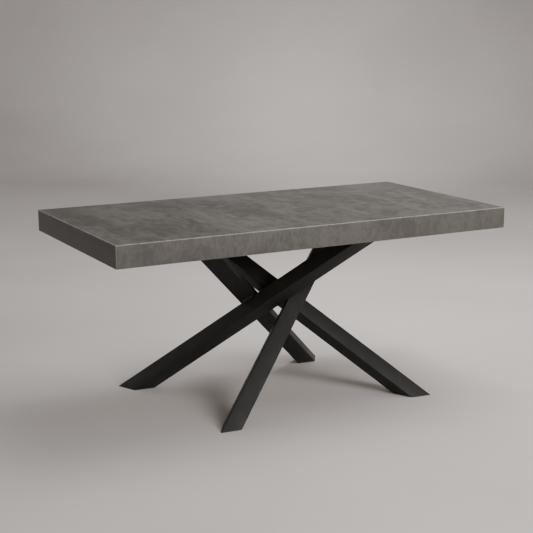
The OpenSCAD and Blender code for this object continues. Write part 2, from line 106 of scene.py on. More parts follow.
class Graph:
    """Short words for making and joining the nodes of one shader tree."""

    MIX_FACTOR = 0
    MIX_A = 6
    MIX_B = 7
    MIX_RESULT = 2

    def __init__(self, tree: bpy.types.NodeTree) -> None:
        """Start on a tree.

        Args:
            tree: The material's or group's node tree.
        """
        self.tree = tree

    def add(self, kind: str, inputs: dict[Any, Any] | None = None, **props: Any) -> Node:
        """Make a node.

        Args:
            kind: The node's type name.
            inputs: Socket name or number to a value or to the output that feeds it.
            props: Properties of the node itself.

        Returns:
            The new node.
        """
        node = self.tree.nodes.new(kind)
        for name, value in props.items():
            setattr(node, name, value)
        for name, value in (inputs or {}).items():
            self.feed(node.inputs[name], value)
        return node

    def feed(self, socket: Socket, value: Any) -> None:
        """Set an input.

        Args:
            socket: The input.
            value: A constant, or the output that feeds it.
        """
        if isinstance(value, Socket):
            self.tree.links.new(value, socket)
        else:
            socket.default_value = value

    def object_place(self) -> Socket:
        """Give the point on the piece, in metres."""
        return self.add("ShaderNodeTexCoord").outputs["Object"]

    def stretched(self, vector: Any, scale: Any) -> Socket:
        """Scale a vector.

        Args:
            vector: The output to scale.
            scale: Three numbers, or an output with them.

        Returns:
            The scaled vector.
        """
        inputs = {0: vector, 1: scale}
        return self.add("ShaderNodeVectorMath", inputs, operation="MULTIPLY").outputs[0]

    def noise(self, vector: Any, scale: float, detail: float = 3.0, rough: float = 0.55,
              distortion: float = 0.0) -> Socket:
        """Give a noise value.

        Args:
            vector: Where to read the noise.
            scale: Noise cells to a metre.
            detail: Octaves.
            rough: How strong the finer octaves are.
            distortion: How far the pattern is pushed about.

        Returns:
            The noise's value output.
        """
        inputs = {"Vector": vector, "Scale": scale, "Detail": detail, "Roughness": rough,
                  "Distortion": distortion}
        return self.add("ShaderNodeTexNoise", inputs).outputs["Fac"]

    def remap(self, value: Any, low: float, high: float, to_low: float = 0.0,
              to_high: float = 1.0) -> Socket:
        """Map a range smoothly onto another, without going past it.

        Args:
            value: The output to map.
            low: Value that gives to_low.
            high: Value that gives to_high.
            to_low: Result at low.
            to_high: Result at high.

        Returns:
            The mapped value.
        """
        inputs = {"Value": value, "From Min": low, "From Max": high, "To Min": to_low,
                  "To Max": to_high}
        node = self.add("ShaderNodeMapRange", inputs, interpolation_type="SMOOTHSTEP")
        return node.outputs["Result"]

    def maths(self, operation: str, a: Any, b: Any = 0.0, c: Any = 0.0) -> Socket:
        """Do one sum.

        Args:
            operation: Name of the operation.
            a: First value or output.
            b: Second value or output.
            c: Third value or output.

        Returns:
            The result.
        """
        node = self.add("ShaderNodeMath", {0: a, 1: b, 2: c}, operation=operation)
        return node.outputs[0]

    def blend(self, factor: Any, a: Any, b: Any, mode: str = "MIX") -> Socket:
        """Mix two colours.

        Args:
            factor: How much of the second colour.
            a: First colour or output.
            b: Second colour or output.
            mode: Blend mode.

        Returns:
            The mixed colour.
        """
        inputs = {self.MIX_FACTOR: factor, self.MIX_A: a, self.MIX_B: b}
        node = self.add("ShaderNodeMix", inputs, data_type="RGBA", blend_type=mode)
        return node.outputs[self.MIX_RESULT]

    def bump(self, height: Any, distance: float, strength: float) -> Socket:
        """Turn a height into a normal.

        Args:
            height: The height output, 0 to 1.
            distance: Depth in metres that 1 stands for.
            strength: Strength of the effect.

        Returns:
            The bumped normal.
        """
        inputs = {"Height": height, "Distance": distance, "Strength": strength}
        return self.add("ShaderNodeBump", inputs).outputs["Normal"]


@dataclass(frozen=True)
class Effect:
    """A shader node group that several finishes share."""

    name: str
    inputs: tuple[tuple[str, str, Any], ...]
    outputs: tuple[str, ...]
    fill: Callable[[Graph, Sockets], Sockets]

    def tree(self) -> bpy.types.NodeTree:
        """Give the group's tree, made once.

        Returns:
            The node tree.
        """
        made = bpy.data.node_groups.get(self.name)
        if made:
            return made
        tree = bpy.data.node_groups.new(self.name, "ShaderNodeTree")
        for name, kind, value in self.inputs:
            socket = tree.interface.new_socket(name, in_out="INPUT", socket_type=kind)
            socket.default_value = value
        for name in self.outputs:
            tree.interface.new_socket(name, in_out="OUTPUT", socket_type=FLOAT)
        graph = Graph(tree)
        given = graph.add("NodeGroupInput").outputs
        graph.add("NodeGroupOutput", self.fill(graph, given))
        return tree

    def place(self, graph: Graph, **values: Any) -> Node:
        """Put the group in a material.

        Args:
            graph: The material's graph.
            values: Socket names to values or outputs.

        Returns:
            The group node.
        """
        node = graph.add("ShaderNodeGroup", node_tree=self.tree())
        for name, value in values.items():
            graph.feed(node.inputs[name], value)
        return node


def fill_trowel_marks(graph: Graph, given: Sockets) -> Sockets:
    """Clouds, brushed veils and pits of a cement skim, all drawn out along the trowel's way.

    Args:
        graph: The group's graph.
        given: The group's inputs.

    Returns:
        Tone of the skim, fine marks, and pits.
    """
    place = given["Vector"]
    drawn = graph.stretched(place, given["Stretch"])
    clouds = graph.noise(graph.stretched(place, (1.0, 0.55, 1.0)), 5.0, 4.0, 0.5, 0.6)
    veils = graph.noise(drawn, 52.0, 5.0, 0.62, 0.8)
    marks = graph.noise(drawn, 150.0, 4.0, 0.7)
    blotches = graph.noise(place, 21.0, 4.0, 0.62, 1.2)
    tone: Any = 0.0
    for layer, share in ((clouds, 0.34), (veils, 0.34), (blotches, 0.32)):
        tone = graph.maths("MULTIPLY_ADD", graph.remap(layer, *CRISP), share, tone)
    pits = graph.remap(graph.noise(place, 620.0, 2.0, 0.5), 0.66, 0.74)
    pits = graph.maths("MULTIPLY", pits, graph.remap(blotches, 0.45, 0.6))
    return {"Tone": tone, "Marks": marks, "Pits": pits}


def fill_edge_wear_and_highlight(graph: Graph, given: Sockets) -> Sockets:
    """A mask of the edges for painted highlight and wear, strongest on upper edges, broken up by
    noise.

    Args:
        graph: The group's graph.
        given: The group's inputs.

    Returns:
        Where the edges get painted highlight and wear.
    """
    rounded = graph.add("ShaderNodeBevel", {"Radius": given["Radius"]}, samples=4)
    flat = graph.add("ShaderNodeNewGeometry")
    inputs = {0: rounded.outputs["Normal"], 1: flat.outputs["True Normal"]}
    same = graph.add("ShaderNodeVectorMath", inputs, operation="DOT_PRODUCT").outputs["Value"]
    edge = graph.remap(same, 0.995, 0.80)
    height = graph.add("ShaderNodeSeparateXYZ", {"Vector": rounded.outputs["Normal"]})
    # edges that face up get more, as a painted highlight from light above would
    edge = graph.maths("MULTIPLY", edge, graph.remap(height.outputs["Z"], 0.0, 0.4, 0.25, 1.0))
    broken = graph.remap(graph.noise(given["Vector"], 45.0, 4.0, 0.65), 0.25, 0.6, 0.35)
    return {"Mask": graph.maths("MULTIPLY", edge, broken)}


def fill_dust(graph: Graph, given: Sockets) -> Sockets:
    """A mask of dust that lies on the faces that look up.

    Args:
        graph: The group's graph.
        given: The group's inputs.

    Returns:
        Where dust lies.
    """
    normal = graph.add("ShaderNodeNewGeometry").outputs["Normal"]
    upward = graph.add("ShaderNodeSeparateXYZ", {"Vector": normal}).outputs["Z"]
    lying = graph.remap(upward, 0.2, 0.95)
    patchy = graph.remap(graph.noise(given["Vector"], 9.0, 6.0, 0.7), 0.3, 0.75, 0.25)
    mask = graph.maths("MULTIPLY", graph.maths("MULTIPLY", lying, patchy), given["Amount"])
    return {"Mask": mask}


def fill_grain(graph: Graph, given: Sockets) -> Sockets:
    """Wood grain: long growth bands and fine pores along the stretched way.

    Args:
        graph: The group's graph.
        given: The group's inputs.

    Returns:
        Growth bands and pores.
    """
    drawn = graph.stretched(given["Vector"], given["Stretch"])
    wander = graph.maths("MULTIPLY", graph.noise(drawn, 5.0, 2.0, 0.5), 9.0)
    bands = graph.add("ShaderNodeTexWave", {"Vector": drawn, "Scale": 32.0, "Distortion": 3.0,
                                            "Detail": 4.0, "Detail Scale": 0.8,
                                            "Phase Offset": wander},
                      wave_type="BANDS", bands_direction="DIAGONAL").outputs["Fac"]
    pores = graph.noise(drawn, 420.0, 2.0, 0.6)
    return {"Bands": bands, "Pores": pores}


VECTOR = ("Vector", "NodeSocketVector", (0.0, 0.0, 0.0))
STRETCH = ("Stretch", "NodeSocketVector", (1.0, 1.0, 1.0))
TROWEL_MARKS = Effect("trowel_marks", (VECTOR, STRETCH), ("Tone", "Marks", "Pits"),
                      fill_trowel_marks)
EDGE_WEAR_AND_HIGHLIGHT = Effect("edge_wear", (VECTOR, ("Radius", FLOAT, 0.001)), ("Mask",), fill_edge_wear_and_highlight)
DUST = Effect("settled_dust", (VECTOR, ("Amount", FLOAT, 0.3)), ("Mask",), fill_dust)
GRAIN = Effect("wood_grain", (VECTOR, STRETCH), ("Bands", "Pores"), fill_grain)


# ---- Finishes ----


class Finish:
    """What every finish shares: it makes its material and feeds the shader with its pattern."""

    SHADER: dict[str, float] = {}

    def draw(self, graph: Graph, place: Socket) -> Sockets:
        """Draw the finish.

        Args:
            graph: The material's graph.
            place: The point on the piece.

        Returns:
            What feeds the shader.
        """
        raise NotImplementedError

    def build(self, name: str) -> bpy.types.Material:
        """Make the material.

        Args:
            name: Name of the material.

        Returns:
            The material.
        """
        material = bpy.data.materials.new(name)
        material.use_nodes = True
        graph = Graph(material.node_tree)
        shader = material.node_tree.nodes["Principled BSDF"]
        for key, value in {**self.SHADER, **self.draw(graph, graph.object_place())}.items():
            graph.feed(shader.inputs[key], value)
        return material


@dataclass(frozen=True)
class CementFacing(Finish):
    """Matt laminate with the look of a trowelled cement skim."""

    streak: Streak
    dark: Colour = (0.054, 0.0500, 0.0450, 1.0)
    light: Colour = (0.118, 0.1115, 0.1030, 1.0)
    warm: Colour = (0.104, 0.0920, 0.0790, 1.0)
    # pale colour of the painted highlight along the edges, and of the dust
    edge_highlight_and_dust: Colour = (0.600, 0.580, 0.545, 1.0)
    joint_bands: tuple[Triple, ...] = ()
    edge: float = 0.004
    # strength of the painted edge highlight
    wear_and_highlight: float = 0.8
    dust: float = 0.03
    relief: float = 0.00006

    SHADER = {"Specular IOR Level": 0.42}

    def draw(self, graph: Graph, place: Socket) -> Sockets:
        """Draw the finish.

        Args:
            graph: The material's graph.
            place: The point on the piece.

        Returns:
            What feeds the shader.
        """
        skim = TROWEL_MARKS.place(graph, Vector=place, Stretch=self.streak.value)
        tone = skim.outputs["Tone"]
        for middle, width, strength in self.joint_bands:
            tone = graph.maths("ADD", tone, self.band(graph, place, middle, width, strength))
        colour = graph.blend(graph.remap(tone, 0.12, 0.92), self.dark, self.light)
        warmth = graph.remap(graph.noise(place, 11.0, 2.0), 0.55, 0.75, 0.0, 0.35)
        colour = graph.blend(warmth, colour, self.warm)
        fine = graph.remap(skim.outputs["Marks"], *SOFT, 0.90, 1.09)
        grey = graph.add("ShaderNodeCombineColor", {"Red": fine, "Green": fine, "Blue": fine})
        colour = graph.blend(1.0, colour, grey.outputs["Color"], "MULTIPLY")
        colour = graph.blend(graph.maths("MULTIPLY", skim.outputs["Pits"], 0.55), colour,
                             self.dark)
        # painted highlight along the arrises, lighter where the rounded edges catch the light,
        # with a little wear
        wear_and_highlight = EDGE_WEAR_AND_HIGHLIGHT.place(graph, Vector=place, Radius=self.edge).outputs["Mask"]
        colour = graph.blend(graph.maths("MULTIPLY", wear_and_highlight, self.wear_and_highlight), colour, self.edge_highlight_and_dust)
        dust = DUST.place(graph, Vector=place, Amount=self.dust).outputs["Mask"]
        colour = graph.blend(dust, colour, self.edge_highlight_and_dust)
        rough = graph.remap(tone, 0.2, 0.9, 0.50, 0.62)
        height = graph.maths("MULTIPLY_ADD", skim.outputs["Marks"], 0.8,
                             graph.maths("MULTIPLY", tone, 0.2))
        height = graph.maths("SUBTRACT", height, skim.outputs["Pits"])
        return {"Base Color": colour, "Roughness": rough,
                "Normal": graph.bump(height, self.relief, 0.6)}

    def band(self, graph: Graph, place: Socket, middle: float, width: float,
             strength: float) -> Socket:
        """Draw one soft, uneven line across the board, where the skim was lapped.

        Args:
            graph: The material's graph.
            place: The point on the piece.
            middle: The line's X in metres.
            width: Half its width in metres.
            strength: How much lighter it is.

        Returns:
            What it adds to the tone.
        """
        along = graph.add("ShaderNodeSeparateXYZ", {"Vector": place}).outputs["X"]
        wander = graph.noise(graph.stretched(place, (0.2, 1.0, 1.0)), 6.0, 4.0)
        edge = graph.maths("MULTIPLY_ADD", wander, width, along)
        away = graph.maths("ABSOLUTE", graph.maths("SUBTRACT", edge, middle + width / 2))
        line = graph.remap(away, width, 0.0, 0.0, strength)
        patchy = graph.remap(graph.noise(place, 9.0, 3.0), 0.35, 0.6, 0.25)
        return graph.maths("MULTIPLY", line, patchy)


@dataclass(frozen=True)
class PowderCoat(Finish):
    """Black powder coat on steel, with its fine orange peel, a little dust and a painted highlight
    on its edges.
    """

    colour: Colour = (0.0110, 0.0112, 0.0104, 1.0)
    # pale colour of the dust and of the painted edge highlight
    dust_and_highlight: Colour = (0.060, 0.057, 0.053, 1.0)
    rough: float = 0.52
    edge: float = 0.0012
    wear_and_highlight: float = 0.35
    dust: float = 0.10
    relief: float = 0.00004

    SHADER = {"Specular IOR Level": 0.32}

    def draw(self, graph: Graph, place: Socket) -> Sockets:
        """Draw the finish.

        Args:
            graph: The material's graph.
            place: The point on the piece.

        Returns:
            What feeds the shader.
        """
        dust = DUST.place(graph, Vector=place, Amount=self.dust).outputs["Mask"]
        # painted highlight on the rounded edges of the tubes, lighter where they face up
        wear_and_highlight = EDGE_WEAR_AND_HIGHLIGHT.place(graph, Vector=place, Radius=self.edge).outputs["Mask"]
        colour = graph.blend(dust, self.colour, self.dust_and_highlight)
        colour = graph.blend(graph.maths("MULTIPLY", wear_and_highlight, self.wear_and_highlight), colour, self.dust_and_highlight)
        smudge = graph.noise(place, 14.0, 5.0, 0.6)
        rough = graph.remap(smudge, *SOFT, self.rough - 0.05, self.rough + 0.09)
        peel = graph.noise(place, 900.0, 2.0, 0.5)
        return {"Base Color": colour, "Roughness": rough,
                "Normal": graph.bump(peel, self.relief, 0.5)}


@dataclass(frozen=True)
class ParticleCore(Finish):
    """Pressed wood chips of a board's core, where a mitre cuts through it."""

    chip: Colour = (0.36, 0.275, 0.185, 1.0)
    glue: Colour = (0.17, 0.125, 0.085, 1.0)

    SHADER = {"Specular IOR Level": 0.25}

    def draw(self, graph: Graph, place: Socket) -> Sockets:
        """Draw the finish.

        Args:
            graph: The material's graph.
            place: The point on the piece.

        Returns:
            What feeds the shader.
        """
        chips = graph.add("ShaderNodeTexVoronoi", {"Vector": place, "Scale": 420.0})
        shade = graph.remap(graph.noise(place, 260.0, 3.0), *SOFT)
        colour = graph.blend(shade, self.glue, self.chip)
        tint = graph.add("ShaderNodeSeparateColor", {"Color": chips.outputs["Color"]})
        darker = graph.remap(tint.outputs["Red"], 0.0, 1.0, 0.0, 0.5)
        colour = graph.blend(darker, colour, self.glue)
        rough = graph.remap(shade, 0.0, 1.0, 0.75, 0.9)
        return {"Base Color": colour, "Roughness": rough,
                "Normal": graph.bump(chips.outputs["Distance"], 0.0004, 0.7)}


@dataclass(frozen=True)
class BackingPaper(Finish):
    """Plain grey paper that balances a laminated board on its hidden side."""

    pale: Colour = (0.30, 0.29, 0.27, 1.0)
    deep: Colour = (0.22, 0.21, 0.195, 1.0)

    SHADER = {"Specular IOR Level": 0.35}

    def draw(self, graph: Graph, place: Socket) -> Sockets:
        """Draw the finish.

        Args:
            graph: The material's graph.
            place: The point on the piece.

        Returns:
            What feeds the shader.
        """
        cloudy = graph.remap(graph.noise(place, 18.0, 5.0, 0.6), *SOFT)
        fibre = graph.noise(graph.stretched(place, (1.0, 0.2, 1.0)), 700.0, 2.0)
        mixed = graph.maths("MULTIPLY_ADD", graph.remap(fibre, *SOFT), 0.4,
                            graph.maths("MULTIPLY", cloudy, 0.6))
        dust = DUST.place(graph, Vector=place, Amount=0.2).outputs["Mask"]
        colour = graph.blend(dust, graph.blend(mixed, self.deep, self.pale), self.pale)
        return {"Base Color": colour, "Roughness": graph.remap(mixed, 0.0, 1.0, 0.55, 0.7),
                "Normal": graph.bump(fibre, 0.00005, 0.5)}


@dataclass(frozen=True)
class BareWood(Finish):
    """Sanded wood of the hidden frame, with grain along one way."""

    stretch: Triple
    early: Colour = (0.50, 0.35, 0.20, 1.0)
    late: Colour = (0.37, 0.23, 0.115, 1.0)
    edge: float = 0.001
    wear_and_highlight: float = 0.4

    SHADER = {"Specular IOR Level": 0.3}

    def draw(self, graph: Graph, place: Socket) -> Sockets:
        """Draw the finish.

        Args:
            graph: The material's graph.
            place: The point on the piece.

        Returns:
            What feeds the shader.
        """
        grain = GRAIN.place(graph, Vector=place, Stretch=self.stretch)
        colour = graph.blend(grain.outputs["Bands"], self.early, self.late)
        pores = graph.remap(grain.outputs["Pores"], 0.62, 0.75, 0.0, 0.5)
        colour = graph.blend(pores, colour, self.late)
        wear_and_highlight = EDGE_WEAR_AND_HIGHLIGHT.place(graph, Vector=place, Radius=self.edge).outputs["Mask"]
        colour = graph.blend(graph.maths("MULTIPLY", wear_and_highlight, self.wear_and_highlight), colour, self.late)
        rough = graph.remap(grain.outputs["Bands"], 0.0, 1.0, 0.62, 0.75)
        return {"Base Color": colour, "Roughness": rough,
                "Normal": graph.bump(grain.outputs["Pores"], 0.0001, 0.5)}


@dataclass(frozen=True)
class ZincPlate(Finish):
    """Bright zinc plate on rolled steel, faintly blue and yellow from its passivation."""

    cool: Colour = (0.62, 0.65, 0.70, 1.0)
    straw: Colour = (0.70, 0.66, 0.55, 1.0)

    SHADER = {"Metallic": 1.0}

    def draw(self, graph: Graph, place: Socket) -> Sockets:
        """Draw the finish.

        Args:
            graph: The material's graph.
            place: The point on the piece.

        Returns:
            What feeds the shader.
        """
        sheen = graph.remap(graph.noise(place, 22.0, 4.0, 0.6), 0.35, 0.65)
        rolled = graph.noise(graph.stretched(place, (0.03, 1.0, 1.0)), 900.0, 2.0)
        smears = graph.remap(graph.noise(place, 60.0, 5.0), *SOFT, 0.24, 0.42)
        return {"Base Color": graph.blend(sheen, self.cool, self.straw),
                "Roughness": smears, "Normal": graph.bump(rolled, 0.00003, 0.5)}


@dataclass(frozen=True)
class MouldedRubber(Finish):
    """Black rubber with a fine spark-eroded mould texture."""

    colour: Colour = (0.018, 0.018, 0.018, 1.0)
    bloom: Colour = (0.060, 0.058, 0.055, 1.0)

    SHADER = {"Specular IOR Level": 0.4}

    def draw(self, graph: Graph, place: Socket) -> Sockets:
        """Draw the finish.

        Args:
            graph: The material's graph.
            place: The point on the piece.

        Returns:
            What feeds the shader.
        """
        hazy = graph.remap(graph.noise(place, 35.0, 5.0, 0.65), 0.4, 0.8, 0.0, 0.5)
        grit = graph.noise(place, 1800.0, 2.0)
        return {"Base Color": graph.blend(hazy, self.colour, self.bloom),
                "Roughness": graph.remap(hazy, 0.0, 0.5, 0.6, 0.8),
                "Normal": graph.bump(grit, 0.00006, 0.6)}


@dataclass(frozen=True)
class PressedFelt(Finish):
    """Grey wool felt."""

    pale: Colour = (0.17, 0.165, 0.155, 1.0)
    deep: Colour = (0.055, 0.052, 0.048, 1.0)

    SHADER = {"Roughness": 0.95, "Sheen Weight": 0.3, "Specular IOR Level": 0.1}

    def draw(self, graph: Graph, place: Socket) -> Sockets:
        """Draw the finish.

        Args:
            graph: The material's graph.
            place: The point on the piece.

        Returns:
            What feeds the shader.
        """
        lint = graph.noise(place, 1400.0, 6.0, 0.75, 2.0)
        tufts = graph.noise(place, 180.0, 4.0, 0.6, 1.0)
        mixed = graph.maths("MULTIPLY_ADD", lint, 0.6, graph.maths("MULTIPLY", tufts, 0.4))
        colour = graph.blend(graph.remap(mixed, 0.35, 0.65), self.deep, self.pale)
        return {"Base Color": colour, "Normal": graph.bump(mixed, 0.0005, 0.9)}


@dataclass(frozen=True)
class StudioPaper(Finish):
    """Seamless pale paper of the studio floor."""

    pale: Colour = (0.68, 0.642, 0.628, 1.0)
    deep: Colour = (0.62, 0.583, 0.568, 1.0)

    SHADER = {"Specular IOR Level": 0.15}

    def draw(self, graph: Graph, place: Socket) -> Sockets:
        """Draw the finish.

        Args:
            graph: The material's graph.
            place: The point on the piece.

        Returns:
            What feeds the shader.
        """
        cloudy = graph.remap(graph.noise(place, 0.7, 4.0, 0.5), *SOFT)
        return {"Base Color": graph.blend(cloudy, self.pale, self.deep),
                "Roughness": graph.remap(cloudy, 0.0, 1.0, 0.7, 0.85)}


class FinishShop:
    """Makes each finish once and hands out its material."""

    def __init__(self) -> None:
        """Name every finish of the table."""
        bands = ((-0.309, 0.014, 0.30), (-0.222, 0.010, 0.16))
        self.finishes: dict[str, Any] = {
            "cement_top": CementFacing(Streak.ACROSS, joint_bands=bands),
            "cement_side": CementFacing(Streak.UPRIGHT, dark=(0.079, 0.0735, 0.0665, 1.0),
                                        light=(0.116, 0.1095, 0.1010, 1.0)),
            "board_core": ParticleCore(),
            "board_backing": BackingPaper(),
            "powder_coat": PowderCoat(),
            "plywood": BareWood((0.6, 0.05, 1.0), early=(0.50, 0.375, 0.225, 1.0),
                                late=(0.40, 0.275, 0.150, 1.0)),
            "pine_across": BareWood((1.0, 0.06, 1.0)),
            "pine_along": BareWood((0.06, 1.0, 1.0)),
            "zinc_plate": ZincPlate(),
            "black_rubber": MouldedRubber(),
            "grey_felt": PressedFelt(),
            "studio_paper": StudioPaper(),
        }
        self.made: dict[str, bpy.types.Material] = {}

    def get(self, name: str) -> bpy.types.Material:
        """Give a finish's material.

        Args:
            name: Name of the finish.

        Returns:
            The material.
        """
        if name not in self.made:
            self.made[name] = self.finishes[name].build(name)
        return self.made[name]


# ---- Mesh building ----


def finish_mesh(name: str, bm: Mesh, materials: Sequence[bpy.types.Material],
                smooth_deg: float) -> bpy.types.Object:
    """Turn a bmesh into a piece, smooth over edges flatter than an angle.

    Args:
        name: Name of the piece.
        bm: The mesh, which is freed.
        materials: Materials, in the order of the faces' numbers.
        smooth_deg: Edges sharper than this stay sharp.

    Returns:
        The new object.
    """
    bmesh.ops.recalc_face_normals(bm, faces=bm.faces)
    for face in bm.faces:
        face.smooth = True
    for edge in bm.edges:
        flat = len(edge.link_faces) == 2 and edge.calc_face_angle(0.0) < math.radians(smooth_deg)
        edge.smooth = flat
    mesh = bpy.data.meshes.new(name)
    bm.to_mesh(mesh)
    bm.free()
    for material in materials:
        mesh.materials.append(material)
    piece = bpy.data.objects.new(name, mesh)
    bpy.context.scene.collection.objects.link(piece)
    return piece


def stand_for(node: str, name: str, bm: Mesh, materials: Sequence[bpy.types.Material],
              smooth_deg: float = 30.0) -> None:
    """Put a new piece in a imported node's place.

    Args:
        node: The node that it stands for.
        name: Name of the piece.
        bm: Its mesh, which is freed.
        materials: Materials, in the order of the faces' numbers.
        smooth_deg: Edges sharper than this stay sharp.
    """
    piece = finish_mesh(name, bm, materials, smooth_deg)
    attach(piece, NODE_BODY[node])
    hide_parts(node)
    log.info("%s stands for %s on %s", name, node, NODE_BODY[node])


def rounded_block(low: Vector, high: Vector, radius: float, steps: int) -> Mesh:
    """Make a block with rounded edges.

    Args:
        low: Lowest corner.
        high: Highest corner.
        radius: Radius of its edges.
        steps: Facets to a rounding.

    Returns:
        The mesh.
    """
    bm = bmesh.new()
    bmesh.ops.create_cube(bm, size=1.0)
    size = high - low
    bmesh.ops.scale(bm, vec=size, verts=bm.verts)
    bmesh.ops.translate(bm, vec=(low + high) / 2, verts=bm.verts)
    bmesh.ops.bevel(bm, geom=bm.edges[:], offset=radius, offset_type="OFFSET", segments=steps,
                    profile=0.5, affect="EDGES", clamp_overlap=True)
    return bm


def slice_off(bm: Mesh, point: Vector, normal: Vector, number: int) -> None:
    """Cut a convex block by a plane and close the cut.

    Args:
        bm: The block.
        point: A point on the plane.
        normal: The plane's normal, towards what is cut away.
        number: Material number of the new face.
    """
    geometry = bm.verts[:] + bm.edges[:] + bm.faces[:]
    bmesh.ops.bisect_plane(bm, geom=geometry, dist=1e-7, plane_co=point, plane_no=normal,
                           clear_outer=True)
    rim = [edge for edge in bm.edges if edge.is_boundary]
    if rim:
        for face in bmesh.ops.contextual_create(bm, geom=rim)["faces"]:
            face.material_index = number


def loose_parts(node: str) -> list[list[Vector]]:
    """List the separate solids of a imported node.

    Args:
        node: Name of the node.

    Returns:
        The corner points of each solid.
    """
    bm = bmesh.new()
    bm.from_mesh(frame["nodes"][node].data)
    bmesh.ops.remove_doubles(bm, verts=bm.verts, dist=1e-6)
    seen: set[bmesh.types.BMVert] = set()
    parts = []
    for start in bm.verts:
        if start in seen:
            continue
        seen.add(start)
        part, waiting = [], [start]
        while waiting:
            vert = waiting.pop()
            part.append(vert.co.copy())
            for edge in vert.link_edges:
                other = edge.other_vert(vert)
                if other not in seen:
                    seen.add(other)
                    waiting.append(other)
        parts.append(part)
    bm.free()
    return parts


def loft(bm: Mesh, rings: Sequence[Sequence[Vector]], caps: bool = True) -> None:
    """Skin a row of closed rings that have the same number of points.

    Args:
        bm: Mesh to add to.
        rings: The rings, in order.
        caps: Whether the first and last ring are filled.
    """
    rows = [[bm.verts.new(point) for point in ring] for ring in rings]
    count = len(rows[0])
    for low, high in zip(rows, rows[1:]):
        for i in range(count):
            j = (i + 1) % count
            bm.faces.new((low[i], low[j], high[j], high[i]))
    if caps:
        bm.faces.new(rows[0][::-1])
        bm.faces.new(rows[-1])


def axes_about(way: Vector) -> tuple[Vector, Vector]:
    """Give two axes square to a way and to each other.

    Args:
        way: The way, of length 1.

    Returns:
        The two axes.
    """
    first = way.orthogonal().normalized()
    return first, way.cross(first).normalized()


# ---- The boxed top ----


@dataclass
class BoxedTop:
    """Main top, aprons, end panels and leaves, with mitres where the boards meet."""

    shop: FinishShop
    arris: float = 0.0014
    arris_steps: int = 5
    leaf_arris: float = 0.0009

    CORE = 1
    BACKING = 2

    def __post_init__(self) -> None:
        """Read the outline of the closed box."""
        left_low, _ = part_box("left_end_panel")
        _, right_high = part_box("right_end_panel")
        top_low, top_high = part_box("main_top")
        apron_low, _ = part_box("front_apron")
        self.low = Vector((left_low.x, top_low.y, apron_low.z))
        self.high = Vector((right_high.x, top_high.y, top_high.z))
        self.board = top_high.z - top_low.z
        self.seam = top_low.x - left_low.x

    def materials(self, facing: str) -> list[bpy.types.Material]:
        """Give a board's materials.

        Args:
            facing: Name of the finish on its face.

        Returns:
            Facing, core and backing.
        """
        return [self.shop.get(name) for name in (facing, "board_core", "board_backing")]

    def shell(self) -> Mesh:
        """Give the outer form of the whole box, before it is cut into boards."""
        return rounded_block(self.low, self.high, self.arris, self.arris_steps)

    def main_top(self) -> None:
        """Cut the top board out of the box."""
        bm = self.shell()
        low, high = self.low, self.high
        slice_off(bm, Vector((0, 0, high.z - self.board)), Vector((0, 0, -1)), self.BACKING)
        for side, edge in ((-1, low.y), (1, high.y)):
            slice_off(bm, Vector((0, edge, high.z)), Vector((0, side, -1)), self.CORE)
        for side, edge in ((-1, low.x + self.seam), (1, high.x - self.seam)):
            slice_off(bm, Vector((edge, 0, high.z)), Vector((side, 0, -1)), self.CORE)
        stand_for("main_top", "main_top_board", bm, self.materials("cement_top"))

    def apron(self, name: str, side: int) -> None:
        """Cut an apron out of the box.

        Args:
            name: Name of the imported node.
            side: -1 for the front and 1 for the back.
        """
        bm = self.shell()
        edge = self.low.y if side < 0 else self.high.y
        slice_off(bm, Vector((0, edge - side * self.board, 0)), Vector((0, -side, 0)),
                  self.BACKING)
        slice_off(bm, Vector((0, edge, self.high.z)), Vector((0, -side, 1)), self.CORE)
        for end, x in ((-1, self.low.x + self.seam), (1, self.high.x - self.seam)):
            slice_off(bm, Vector((x, edge, 0)), Vector((end, -side, 0)), self.CORE)
        stand_for(name, name + "_board", bm, self.materials("cement_side"))

    def end_panel(self, end: End) -> None:
        """Cut an end panel out of the box.

        Args:
            end: Which end.
        """
        bm = self.shell()
        way = end.value
        edge = self.low.x if end is End.LEFT else self.high.x
        slice_off(bm, Vector((edge - way * self.board, 0, 0)), Vector((-way, 0, 0)),
                  self.BACKING)
        slice_off(bm, Vector((edge, 0, self.high.z)), Vector((-way, 0, 1)), self.CORE)
        for side, y in ((-1, self.low.y), (1, self.high.y)):
            slice_off(bm, Vector((edge, y, 0)), Vector((-way, side, 0)), self.CORE)
        node = f"{end.name.lower()}_end_panel"
        stand_for(node, node + "_board", bm, self.materials("cement_side"))

    def leaf(self, end: End) -> None:
        """Make a leaf with its slanted ends.

        Args:
            end: Which end it belongs to.
        """
        node = f"{end.name.lower()}_leaf"
        low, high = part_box(node)
        bm = rounded_block(low, high, self.leaf_arris, self.arris_steps)
        slice_off(bm, Vector((0, 0, low.z)) + Vector((0, 0, self.leaf_arris)),
                  Vector((0, 0, -1)), self.BACKING)
        way = end.value
        outer, inner = (high.x, low.x) if end is End.RIGHT else (low.x, high.x)
        slice_off(bm, Vector((outer, 0, high.z)), Vector((way, 0, -1)), self.CORE)
        slice_off(bm, Vector((inner, 0, low.z)), Vector((-way, 0, 1)), self.CORE)
        stand_for(node, node + "_board", bm, self.materials("cement_top"))

    def build(self) -> None:
        """Make every board."""
        self.main_top()
        self.apron("front_apron", -1)
        self.apron("back_apron", 1)
        for end in End:
            self.end_panel(end)
            self.leaf(end)


# ---- The steel base ----


